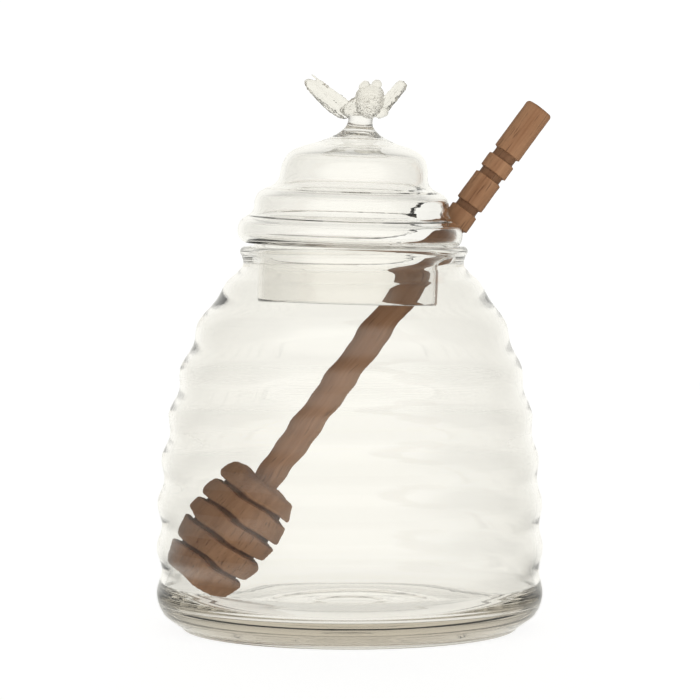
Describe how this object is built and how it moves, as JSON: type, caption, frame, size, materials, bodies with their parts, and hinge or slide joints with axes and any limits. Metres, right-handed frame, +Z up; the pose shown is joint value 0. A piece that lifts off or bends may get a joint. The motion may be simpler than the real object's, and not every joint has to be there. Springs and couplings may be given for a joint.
{
  "type": "glass honey jar with wooden dipper",
  "caption": "Empty clear glass beehive-shaped honey jar with ribbed walls, a stepped glass lid with a bee knob and an arched notch, and a turned wooden dipper leaning through the notch.",
  "frame": {"origin": "on the surface that the jar stands on, at the jar's vertical axis", "axes": "+Z up along the jar's axis, +X to the side where the dipper's handle comes out, -Y towards the viewer of the picture"},
  "size_m": [0.1076, 0.1056, 0.151],
  "materials": {
    "jar_glass": "clear blown glass, glossy, faintly warm",
    "lid_glass": "clear blown glass, glossy, faintly warm",
    "dipper_wood": "turned brown wood, unvarnished matt"
  },
  "bodies": {
    "root": {"jar": "jar_glass", "lid": "lid_glass", "dipper": "dipper_wood"}
  },
  "joints": []
}
